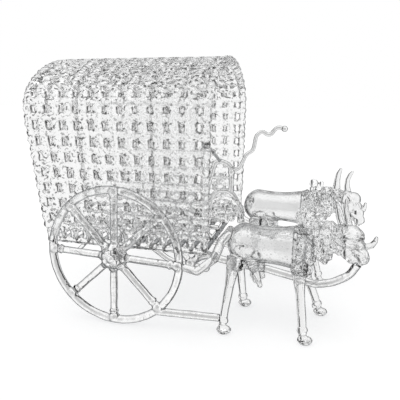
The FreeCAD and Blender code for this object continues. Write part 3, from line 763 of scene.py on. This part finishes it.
# Drops and rods of each head, as (forward, left, up, radius) in millimetres from the poll.
HEADS = {
    "right": {
        "drops": [
            (1, 0, -0.3, 5), (4.6, 0, -1.1, 5.4), (6.2, -1.5, -1.6, 4.9), (3.3, -1, -5.3, 5.2),
            (7.2, -3, -5.9, 4.4), (9.6, -5, -9.9, 3.7), (10.6, -6, -11.8, 3), (6.7, -4, -12.4, 3),
            (3.2, -2, -10.5, 4), (4.8, -3, -13.3, 2.6), (12.3, -6, -10.9, 1.5),
            (9.6, -6, -13.9, 1.6), (7.8, -5, -14.4, 1.6)],
        "rods": [
            [(0, -3, 1.6, 2.3), (-0.8, -3, 5.3, 2.3), (-2.4, -3, 9.7, 2.1), (-3.4, -3, 13.7, 1.6),
             (-3.9, -3, 15.7, 0.9)],
            [(3.6, 3, 0.6, 2), (2.1, 3, 5.4, 1.9), (0.8, 3, 10.8, 1.6), (0.6, 3, 14.6, 1.2),
             (0.7, 3, 17, 0.8)],
            [(8.3, -2, -6.5, 1.7), (12.2, -2, -6.2, 1.8), (14.4, -3, -4.9, 1.7),
             (15.9, -3, -2.7, 1.4), (16.3, -3, -0.8, 1)],
            [(0.1, -7, -4.6, 1.4), (-3.1, -9, -1.6, 1.7), (-6, -9, 1.1, 1)],
            [(4.4, -7.4, -6, 0.7), (7.4, -8.2, -7.4, 0.8), (10.5, -8.8, -9.4, 0.6)],
            [(4.6, -7.2, -7.9, 0.5), (9, -8.6, -10.6, 0.6)],
            [(-0.6, -5, -2, 0.7), (1.7, -5.6, -1, 0.8), (5.1, -6.2, -0.8, 0.8),
             (8.1, -6, -2.3, 0.7), (10, -6.4, -5.3, 0.6)],
            [(2.1, -6.2, -5.5, 0.6), (4.4, -7, -4.3, 0.7), (6.8, -7.2, -4.9, 0.6)]],
    },
    "left": {
        "drops": [
            (1.1, -2, 2.4, 4.4), (4.8, 0, 0.7, 5.4), (9.4, 0, 0, 5.4), (6.5, -1, -4.6, 5),
            (11.3, -2, -4.7, 4.3), (13.1, -4, -8.6, 4), (14, -5, -12.6, 3.7),
            (9.5, -3, -10.9, 3.2), (5.4, -1, -8.2, 3.6), (16.2, -6, -13.4, 1.5),
            (13, -5, -15.8, 1.8)],
        "rods": [
            [(-2, -3, 5.2, 2.7), (-2, -3, 8.7, 2.6), (-1.9, -3, 13.1, 2.1), (-1.3, -3, 17.6, 1.7),
             (0, -3, 21, 1.1)],
            [(6.1, 3, 3.6, 2.4), (5, 3, 7.8, 2.1), (5.1, 3, 12.7, 1.7), (6.4, 3, 16.2, 1.4),
             (8, 3, 18.3, 1)],
            [(11.4, -2, -7.3, 2), (15, -2, -7.5, 2.1), (16.6, -2, -6.2, 1.7), (17.2, -2, -4, 1.3),
             (17.5, -2, -1.9, 0.9)],
            [(-7.5, -5, -3.1, 1.2), (-7.6, -5, 1.1, 1.8), (-6.8, -5, 4.3, 1.5),
             (-5.9, -5, 6.6, 0.8)],
            [(8.4, -6.2, -8.1, 0.7), (11, -7.4, -10.3, 0.8), (14.4, -8.4, -13.2, 0.6)],
            [(9.2, -6.2, -10.5, 0.5), (12.6, -7.6, -13.4, 0.6)],
            [(6, -5.2, -1.6, 0.7), (8.8, -5.4, 0, 0.8), (12.1, -5.6, -2.2, 0.8),
             (14.4, -5.8, -6.9, 0.7)],
            [(-2.9, -4.8, 6.2, 0.7), (0.8, -5.4, 6.8, 0.9), (4.9, -4.8, 5, 0.8),
             (7.1, -5, 1.5, 0.7)]],
    },
}
# Rows of beads round the neck: share of the way from body to poll, millimetres out, and phase.
NECK_ROWS = ((-1 / 12, 6.6, 0.0), (1 / 3, 6.2, 0.5), (3 / 4, 5.7, 0.0))
NECK_BEADS = 7
NECK_BEAD_R = 2.7 * MM
# Rows of beads round the chest: forward, up and out in millimetres from the body's front, and phase.
CHEST_ROWS = ((-4.8, 0.33, 10.6, 0.0), (0.6, 1.14, 8.8, 0.5))
CHEST_BEADS = 11
CHEST_BEAD_R = 2.6 * MM
# The garland's rings: forward and up from the body's front, half width, half height and the rod's
# radius, all in millimetres, and the number of beads.
GARLAND = ((-7.6, 0, 11.2, 11.2, 1.1, 0), (5.6, 4.7, 9, 10, 1.25, 0),
           (8.2, 4.4, 9.54, 10.6, 1.25, 9), (10.8, 5.4, 8.64, 9.6, 1.25, 0),
           (15.2, 6.4, 6.66, 7.4, 1.25, 7))
RING_STEPS = 24
BEADED_ARC = 1.3 * math.pi  # how much of a ring beads hang from
NECK_START = Vector((0.5, 0, 3.5)) * MM  # from the body's front
NECK_END = Vector((-2.0, 0, -3.0)) * MM  # from the poll
# The mane's three ribbons, as (left, up) in millimetres from the middle one.
MANE = ((-5.0, -1.75), (0.0, 0.0), (5.0, -1.75))
MANE_START = Vector((0, 0, 8.4)) * MM  # above the neck's start
MANE_END = Vector((0, 0, 6.3)) * MM  # above the neck's end
MANE_BACK = 4 * MM  # how far the mane reaches back over the body
MANE_BENDS = 6
MANE_SWAY = Vector((0.3, 0.8, 1.2)) * MM
MANE_R = 1.3 * MM
SOLE_TOP = 3 * MM  # what lies under this height is a sole
HOOF_UP = 2.75 * MM
HOOF_R = 3.9 * MM
HOOF_SQUASH = (1.08, 1.0, 0.7)
LEG_TOP = 4.0 * MM  # from a leg's top down to the middle of its shoulder or thigh
BULGE_R = 4.4 * MM
BULGE_SQUASH = (1.4, 0.8, 1.0)
# The muscle under a bulge: how far behind it as a share of the bulge's lean, how far down in
# millimetres, its radius and its squash.
MUSCLE_BACK = 0.8
MUSCLE_DOWN = 4.5
MUSCLE_R = 3.0 * MM
MUSCLE_SQUASH = (1.1, 0.85, 1.7)
# How far forward of its top each pair of legs bulges, in millimetres.
LEG_BULGES = {"front_legs": 0.6, "rear_legs": 3.0}
# The belly's drops, in millimetres: root and tip forward of the middle of their solids, the tip's
# height over the solids' foot, and the radii from root to tip.
BELLY_DROPS = ((-4.2, 0.1, 1.6, (3.2, 2.6, 1.9)), (2.6, 3.5, 4, (2.2, 1.9, 1.5)))
BELLY_BITE = 1 * MM  # how far the drops' roots reach into the belly
DRESS_WAVE = 5 * MM
BODY_WAVE = 9 * MM
BODY_WAVINESS = 0.35 * MM
# The solids of the blown piece, and those of them that are drawn afresh.
BLOWN = ["body", "head", "horns", "ears", "front_legs", "rear_legs", "belly_drops", "tail"]
DRAWN_AFRESH = {"head", "horns", "ears"}
# Heights up the legs before and after the soft hooves are set down on a flat plate.
HOOF_BEFORE = [0.0, 6.6 * MM, 12.0 * MM, 1.0]
HOOF_AFTER = [0.0, 5.0 * MM, 12.0 * MM, 1.0]


def poll(hand):
    """Where a bullock's head hangs from its neck."""
    return Vector((POLL_FORWARD, SIDES[hand] * BULLOCK_OUT, POLL_UP))


def model_head(bm, hand):
    """Skull, muzzle, horns, ears and the drawn lines of mouth and brow."""
    root = poll(hand)
    drops(bm, root, HEADS[hand]["drops"])
    for rod in HEADS[hand]["rods"]:
        rounded_rod(bm, [root + Vector(place) * MM for *place, radius in rod],
                    [radius * MM for *place, radius in rod])


def ring(bm, centre, across, drop, radius, beads):
    """An upright ring of drawn glass round the neck, with beads hung along its lower part."""
    def place(a):
        return centre + Vector((0, across * math.sin(a), -drop * math.cos(a)))
    turns = [place(math.tau * i / RING_STEPS) for i in range(RING_STEPS + 1)]
    drawn_rod(bm, turns, [radius] * len(turns), sides=8)
    for i in range(beads):
        blob(bm, place(BEADED_ARC * ((i + 0.5) / beads - 0.5)), 1.4 * radius)


def model_neck(bm, hand):
    """The beads of neck and chest, the garland's rings and the mane."""
    low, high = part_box("bullock_body_" + hand)
    chest = Vector((high.x, SIDES[hand] * BULLOCK_OUT, (low.z + high.z) / 2))
    start, end = chest + NECK_START, poll(hand) + NECK_END
    along = (end - start).normalized()
    for share, reach, phase in NECK_ROWS:
        stud(bm, start.lerp(end, share), reach * MM, along, NECK_BEADS, NECK_BEAD_R, phase)
    for forward, up, reach, phase in CHEST_ROWS:
        stud(bm, chest + Vector((forward, 0, up)) * MM, reach * MM, Vector((1, 0, 0)),
             CHEST_BEADS, CHEST_BEAD_R, phase)
    for forward, up, across, drop, radius, beads in GARLAND:
        ring(bm, chest + Vector((forward, 0, up)) * MM, across * MM, drop * MM, radius * MM, beads)
    for left, up in MANE:
        aside = Vector((0, left, up)) * MM
        ribbon(bm, start + MANE_START + aside - along * MANE_BACK, end + MANE_END + aside,
               MANE_BENDS, MANE_SWAY, MANE_R)


def model_legs(bm, hand):
    """Flat-footed hooves, shoulders and thighs."""
    for pair, lean in LEG_BULGES.items():
        legs = solids("bullock_%s_%s" % (pair, hand))
        for leg in separate(legs):
            sole = np.array([v.co for v in leg if v.co.z < SOLE_TOP])
            foot = Vector((sole.min(0) + sole.max(0)) / 2)
            top = max(leg, key=lambda v: v.co.z).co
            shoulder = Vector((top.x + lean * MM, top.y, top.z - LEG_TOP))
            blob(bm, Vector((foot.x, foot.y, HOOF_UP)), HOOF_R, squash=HOOF_SQUASH)
            blob(bm, shoulder, BULGE_R, squash=BULGE_SQUASH)
            blob(bm, shoulder - Vector((MUSCLE_BACK * lean, 0, MUSCLE_DOWN)) * MM, MUSCLE_R,
                 squash=MUSCLE_SQUASH)
        legs.free()


def model_belly(bm, hand):
    """The pointed drops under the belly."""
    low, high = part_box("bullock_belly_drops_" + hand)
    middle = (low + high) / 2
    for root_x, tip_x, tip_up, radii in BELLY_DROPS:
        root = Vector((middle.x + root_x * MM, middle.y, high.z + BELLY_BITE))
        tip = Vector((middle.x + tip_x * MM, middle.y, low.z + tip_up * MM))
        rounded_rod(bm, [root, root.lerp(tip, 0.5), tip], [radius * MM for radius in radii])


def take_inner_wall(bm, hand):
    """Takes the inner wall of the blown body out of a mesh, and gives it on its own."""
    wall = solids("bullock_body_" + hand)
    inner = set(min(separate(wall), key=length_of))
    bmesh.ops.delete(wall, geom=[v for v in wall.verts if v not in inner], context="VERTS")
    reach = length_of(wall.verts)
    same = min(separate(bm), key=lambda part: abs(length_of(part) - reach))
    bmesh.ops.delete(bm, geom=same, context="VERTS")
    return wall


def make_dress(hand):
    """The beaded neck with its garland and mane."""
    neck, garland = "bullock_neck_" + hand, "bullock_garland_" + hand
    bm = solids(neck)
    model_neck(bm, hand)
    made = fuse_in_flame(bm, "garland_" + hand, making().garland_grain,
                         relax=2, waviness=BEADED_WAVINESS, wave_length=DRESS_WAVE)
    place_piece(made, "textured_glass", neck, garland)


def make_bullock(hand):
    """A bullock without its dress, fused in one skin round the hollow of its blown body."""
    names = {part: "bullock_%s_%s" % (part, hand) for part in BLOWN}
    bm = solids(*(name for part, name in names.items() if part not in DRAWN_AFRESH))
    inner_wall = take_inner_wall(bm, hand)
    model_head(bm, hand)
    model_legs(bm, hand)
    model_belly(bm, hand)
    made = fuse_in_flame(bm, "bullock_" + hand, making().bullock_grain,
                         waviness=BODY_WAVINESS, wave_length=BODY_WAVE)
    change_heights(made.data, lambda heights: np.interp(heights, HOOF_BEFORE, HOOF_AFTER))
    whole = bmesh.new()
    whole.from_mesh(made.data)
    gather(whole, inner_wall)
    for face in whole.faces:
        face.smooth = True
    whole.to_mesh(made.data)
    whole.free()
    place_piece(made, "blown_glass", *names.values())


# ---- yoke and shafts ----

YOKE_MIDDLE = Vector((105, 0, 60)) * MM
# The yoke's line, as (forward, left, up, radius) in millimetres from its middle.
YOKE = [(2.6, 41, 1, 3.4), (1.4, 36, -1.6, 4), (-1.4, 26, -3.4, 4), (-4, 13, -4.6, 3.9),
        (-5.6, 0, -4.8, 3.9), (-5.6, -13, -4, 3.9), (-4, -26, -2, 3.9),
        (-1.4, -36, 0.6, 3.9), (0.4, -42, 2, 3.2)]
# The bubble and the small balls on an end, as (forward, out, up, radius).
YOKE_END = [(-1.5, 44, 6, 3.1), (3.7, 44, 6, 1.8), (-2.6, 44, 1.4, 2), (1.5, 44, 1.6, 1.9),
            (3.9, 44, 1.4, 1.6), (-0.6, 43, 3.2, 1.9), (3.6, 43.5, 3.8, 1.3)]
YOKE_CORE = 0.86  # the rod inside, as a share of the yoke's radius
YOKE_BEAD_OUT = 0.85  # how far out its beads lie, as a share of the same
YOKE_BEADS = 7  # in a ring
YOKE_BEAD_R = 2.0 * MM
YOKE_PITCH = 3.9 * MM  # from one ring of beads to the next


def make_yoke():
    """A beaded bar that leans back between the necks, with a bubble at each end."""
    bm = bmesh.new()
    points = [YOKE_MIDDLE + Vector(place) * MM for *place, radius in YOKE]
    radii = [radius * MM for *place, radius in YOKE]
    rounded_rod(bm, points, [YOKE_CORE * radius for radius in radii], sides=12)
    studs = 0
    for here, there, near, far in zip(points, points[1:], radii, radii[1:]):
        count = max(1, round((there - here).length / YOKE_PITCH))
        for i in range(count):
            studs += 1
            reach = YOKE_BEAD_OUT * (near + (far - near) * i / count)
            stud(bm, here.lerp(there, i / count), reach, (there - here).normalized(), YOKE_BEADS,
                 YOKE_BEAD_R, phase=0.5 * (studs % 2))
    for side in SIDES.values():
        drops(bm, YOKE_MIDDLE, [(x, side * y, z, radius) for x, y, z, radius in YOKE_END])
    made = fuse_in_flame(bm, "yoke_bar", making().garland_grain, relax=2)
    place_piece(made, "textured_glass", "yoke")


def make_shaft(hand):
    """A draw shaft from under a sill to a bullock's chin, with its bracket."""
    fuse_plain("draw_shaft_" + hand, making().rod_grain, "shaft_" + hand, "shaft_bracket_" + hand)


def make_peg(hand):
    """The short peg under a sill."""
    fuse_plain("peg_" + hand, making().bullock_grain, "rear_peg_" + hand)


# ---- stage ----

WHITE = (1, 1, 1, 1)
# The room's light as the glass shows it, across the view and from its foot to its top: pairs
# of place and brightness.
FLAGS = ((0.0, 1.0), (0.42, 1.0), (0.54, 0.03), (0.66, 0.0), (0.75, 1.0), (1.0, 1.0))
CEILING = ((0.0, 0.9), (0.3, 1.0), (0.66, 1.0), (0.78, 0.85), (0.88, 1.0), (1.0, 1.0))
PALING = (2.0, 7.0)  # the bounce at which the room starts to pale, and where it is white
FLOOR_HALF = 3.0  # metres from the floor's middle to its edge
FLOOR_DROP = 0.02 * MM  # how far the floor lies under the hooves
LAMP_SPREAD = math.radians(55)
LAMP_AIM = Vector((0.15, 0.2, -1))
EYE = (0.1064, -0.2756, 0.1292)
GAZE = Vector((-0.2515, 0.9384, -0.2368))
GLASS_BOUNCES = 64


def surroundings():
    """The node group for what glass shows of the room: white ahead, dark flags at the sides."""
    known = bpy.data.node_groups.get("room in the glass")
    if known:
        return known
    tree, source, sink = node_group("room in the glass", [("Direction", "Vector")],
                                    [("Light", "Float")])
    view = node(tree, "SeparateXYZ", {0: source.outputs["Direction"]}).outputs
    across = maths(tree, "ABSOLUTE", view["X"], 0.0)
    height = mapped(tree, view["Y"], -1.0, 1.0)
    flags, ceiling = (ramp(tree, value, [(place, (light, light, light, 1)) for place, light in stops])
                      for value, stops in ((across, FLAGS), (height, CEILING)))
    tree.links.new(maths(tree, "MULTIPLY", flags, ceiling), sink.inputs["Light"])
    return tree


def seen_in_glass(tree, direction):
    """The room's light in a direction of the world, as glass before the camera shows it.

    The room pales with each bounce, so that glass behind glass stays clear.
    """
    turn = node(tree, "VectorTransform", {0: direction}, vector_type="VECTOR",
                convert_from="WORLD", convert_to="CAMERA")
    room = node(tree, "Group", {"Direction": turn.outputs[0]}, node_tree=surroundings())
    deep = mapped(tree, node(tree, "LightPath").outputs["Ray Depth"], *PALING)
    return mix(tree, "FLOAT", deep, room.outputs["Light"], 1.0)


def in_glass(tree, path):
    """One for what glass refracts or reflects, and nought for what the eye sees at first hand."""
    return maths(tree, "MAXIMUM", path["Is Transmission Ray"], path["Is Glossy Ray"])


def floor_finish():
    """A pale matt floor, lifted to white, that keeps soft shadows and shows the room in glass."""
    studio = bpy.context.scene.studio
    made = bare_material("pale floor")
    tree = made.node_tree
    path = node(tree, "LightPath").outputs
    lift = maths(tree, "MULTIPLY", path["Is Camera Ray"], studio.fill)
    matt = node(tree, "BsdfPrincipled", {
        "Base Color": studio.floor, "Roughness": 0.9, "Specular IOR Level": 0.0,
        "Emission Color": WHITE, "Emission Strength": lift})
    incoming = node(tree, "NewGeometry").outputs["Incoming"]
    back = node(tree, "VectorMath", {0: incoming, "Scale": -1.0}, operation="SCALE")
    glow = node(tree, "Emission", {"Strength": seen_in_glass(tree, back.outputs[0])})
    show_mix(tree, in_glass(tree, path), matt, glow)
    return made


def make_room():
    """A white room: plain light on matt things, white to the eye, with dark flags in the glass."""
    world = bpy.data.worlds.new("white room")
    bpy.context.scene.world = world
    world.use_nodes = True
    tree = world.node_tree
    tree.nodes.clear()
    path = node(tree, "LightPath").outputs
    shown = seen_in_glass(tree, node(tree, "TexCoord").outputs["Generated"])
    strength = mix(tree, "FLOAT", in_glass(tree, path), bpy.context.scene.studio.room, shown)
    strength = mix(tree, "FLOAT", path["Is Camera Ray"], strength, 1.0)
    light = node(tree, "Background", {"Color": WHITE, "Strength": strength})
    node(tree, "OutputWorld", {"Surface": light.outputs[0]})


def aimed(data, aim, place=(0, 0, 0)):
    """A lamp or camera put into the scene, looking along a line."""
    held = bpy.data.objects.new(data.name, data)
    held.location = place
    held.rotation_mode = "QUATERNION"
    held.rotation_quaternion = aim.to_track_quat("-Z", "Y")
    bpy.context.scene.collection.objects.link(held)
    return held


def make_stage():
    """The floor, the room, the soft lamp and the camera."""
    scene = bpy.context.scene
    bm = bmesh.new()
    bmesh.ops.create_grid(bm, x_segments=2, y_segments=2, size=FLOOR_HALF)
    bmesh.ops.translate(bm, vec=(0, 0, -FLOOR_DROP), verts=bm.verts)
    floor = as_object(bm, "studio_floor")
    floor.data.materials.append(floor_finish())
    make_room()
    lamp = bpy.data.lights.new("soft lamp", "SUN")
    lamp.angle = LAMP_SPREAD
    lamp.energy = scene.studio.lamp
    aimed(lamp, LAMP_AIM)
    camera = bpy.data.cameras.new("camera")
    camera.lens = scene.studio.lens
    camera.sensor_width = 36.0
    camera.clip_start = 0.01
    camera.clip_end = 20.0
    scene.camera = aimed(camera, GAZE, EYE)
    scene.view_settings.view_transform = "Standard"
    scene.cycles.max_bounces = GLASS_BOUNCES
    scene.cycles.transmission_bounces = GLASS_BOUNCES
    scene.cycles.transparent_max_bounces = GLASS_BOUNCES


# ---- operators ----


class GLASSCART_OT_stage(bpy.types.Operator):
    """Set up the pale floor, the white room, the soft lamp and the camera"""
    bl_idname = "glasscart.stage"
    bl_label = "Stage"

    def execute(self, context):
        make_stage()
        return {"FINISHED"}


class GLASSCART_OT_wheels(bpy.types.Operator):
    """Fuse both wheels, the axle and its braces"""
    bl_idname = "glasscart.wheels"
    bl_label = "Wheels and Axle"

    def execute(self, context):
        for hand in SIDES:
            make_wheel(hand)
        make_axle()
        return {"FINISHED"}


class GLASSCART_OT_canopy(bpy.types.Operator):
    """Fuse the canopy's lattice and part it in three lengths"""
    bl_idname = "glasscart.canopy"
    bl_label = "Canopy"

    def execute(self, context):
        make_canopy()
        return {"FINISHED"}


class GLASSCART_OT_floor(bpy.types.Operator):
    """Fuse the floor's rods"""
    bl_idname = "glasscart.floor"
    bl_label = "Floor"

    def execute(self, context):
        make_floor()
        return {"FINISHED"}


class GLASSCART_OT_seat(bpy.types.Operator):
    """Fuse the driver's seat, its rods and the whip"""
    bl_idname = "glasscart.seat"
    bl_label = "Seat and Whip"

    def execute(self, context):
        make_seat()
        return {"FINISHED"}


class GLASSCART_OT_bullocks(bpy.types.Operator):
    """Blow and fuse both bullocks and their dress"""
    bl_idname = "glasscart.bullocks"
    bl_label = "Bullocks"

    def execute(self, context):
        for hand in SIDES:
            make_dress(hand)
            make_bullock(hand)
        return {"FINISHED"}


class GLASSCART_OT_harness(bpy.types.Operator):
    """Fuse the yoke, the draw shafts and the pegs"""
    bl_idname = "glasscart.harness"
    bl_label = "Yoke and Shafts"

    def execute(self, context):
        make_yoke()
        for hand in SIDES:
            make_shaft(hand)
            make_peg(hand)
        return {"FINISHED"}


class GLASSCART_PT_panel(bpy.types.Panel):
    """The cart's sizes, its glass colours with their painted edge shade, its studio and its making
    steps
    """
    bl_idname = "GLASSCART_PT_panel"
    bl_label = "Glass Bullock Cart"
    bl_space_type = "VIEW_3D"
    bl_region_type = "UI"
    bl_category = "Glass Cart"

    def draw(self, context):
        layout = self.layout
        for group in GROUPS:
            settings = getattr(context.scene, group)
            box = layout.box()
            for name in settings.__annotations__:
                box.prop(settings, name)
        for step in STEPS:
            layout.operator(step.bl_idname)


GROUPS = {"glass_finish": GlassAndEdgeShade, "cart_making": CartMaking, "studio": Studio}
STEPS = [GLASSCART_OT_stage, GLASSCART_OT_wheels, GLASSCART_OT_canopy, GLASSCART_OT_floor,
         GLASSCART_OT_seat, GLASSCART_OT_bullocks, GLASSCART_OT_harness]


def register():
    for name, group in GROUPS.items():
        bpy.utils.register_class(group)
        setattr(bpy.types.Scene, name, PointerProperty(type=group))
    for step in STEPS:
        bpy.utils.register_class(step)
    bpy.utils.register_class(GLASSCART_PT_panel)


def unregister():
    bpy.utils.unregister_class(GLASSCART_PT_panel)
    for step in reversed(STEPS):
        bpy.utils.unregister_class(step)
    for name, group in reversed(GROUPS.items()):
        delattr(bpy.types.Scene, name)
        bpy.utils.unregister_class(group)


def main():
    register()
    for step in STEPS:
        getattr(bpy.ops.glasscart, step.bl_idname.split(".")[1])()


if __name__ == "__main__":
    main()
